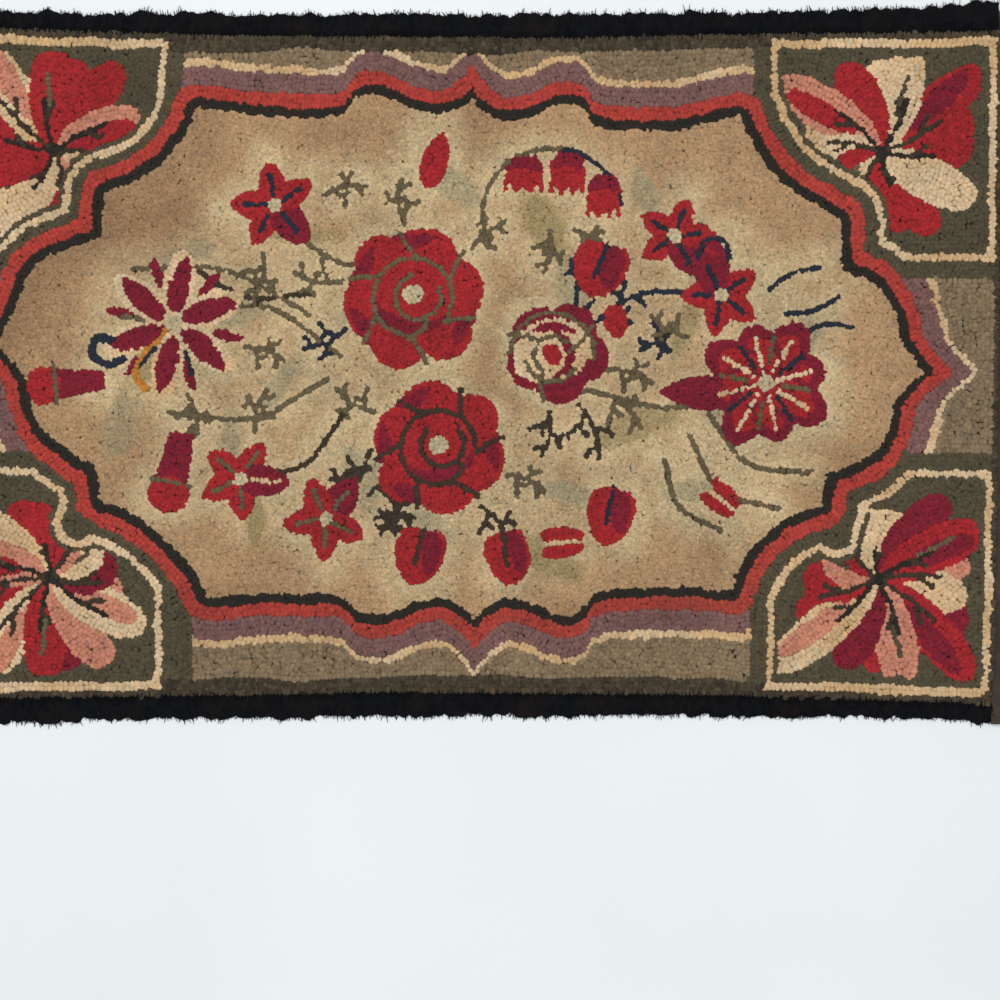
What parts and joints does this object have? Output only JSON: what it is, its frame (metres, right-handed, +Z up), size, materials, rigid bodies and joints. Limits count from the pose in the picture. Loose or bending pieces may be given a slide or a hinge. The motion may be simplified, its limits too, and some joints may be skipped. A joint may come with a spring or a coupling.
{
  "type": "hooked rug",
  "caption": "Hand-hooked wool area rug with a floral centre in a scrolled border, black wool fringe along both long edges and tape folded over both ends, lying flat.",
  "frame": {"origin": "on the floor under the middle of the rug", "axes": "+X along the rug's length, +Y from the front fringe to the back fringe, +Z up out of the pile"},
  "size_m": [1.094, 0.7356, 0.0076],
  "materials": {
    "Pile wool": "matt looped wool pile on a burlap foundation, dyed in a floral design",
    "Black fringe wool": "matt brushed wool strands",
    "Brown binding tape": "matt twill wool tape"
  },
  "bodies": {
    "root": {"hooked_cloth": "Pile wool", "fringe_front": "Black fringe wool", "fringe_back": "Black fringe wool", "end_tape_right": "Brown binding tape", "end_tape_left": "Brown binding tape"}
  },
  "joints": []
}
